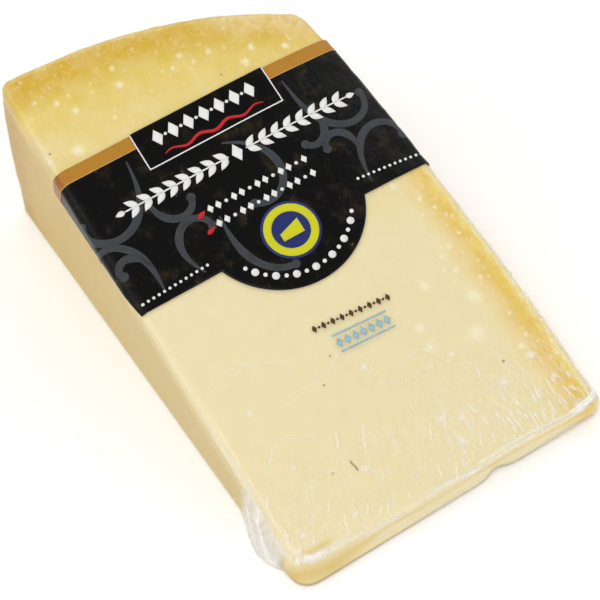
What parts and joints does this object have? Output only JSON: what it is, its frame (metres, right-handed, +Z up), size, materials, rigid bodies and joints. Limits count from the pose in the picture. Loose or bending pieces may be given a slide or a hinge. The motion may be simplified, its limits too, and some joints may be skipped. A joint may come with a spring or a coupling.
{
  "type": "parmesan chunk",
  "caption": "Wedge of aged hard cheese, sealed in tight clear film, with a black printed band across its sloping top face and a rounded rind at the thick end.",
  "frame": {"origin": "middle of the bounding box of the resting face, on the surface that the wedge lies on", "axes": "+X from the thin tip to the rind end, +Y to the mid-height cut side, +Z up"},
  "size_m": [0.1866, 0.1134, 0.0688],
  "materials": {
    "cheese": "cut face of ivory yellow hard cheese with white crystals, seen through film",
    "clear_film": "thin clear glossy film with wrinkles and folds",
    "black_print": "glossy black print on film",
    "gold_print": "glossy gold ochre print on film",
    "white_print": "glossy white print on film",
    "colour_print": "glossy coloured print on film: grey, yellow, blue and red"
  },
  "bodies": {
    "root": {"cheese_pack": "cheese", "printed_band": "black_print"}
  },
  "joints": []
}
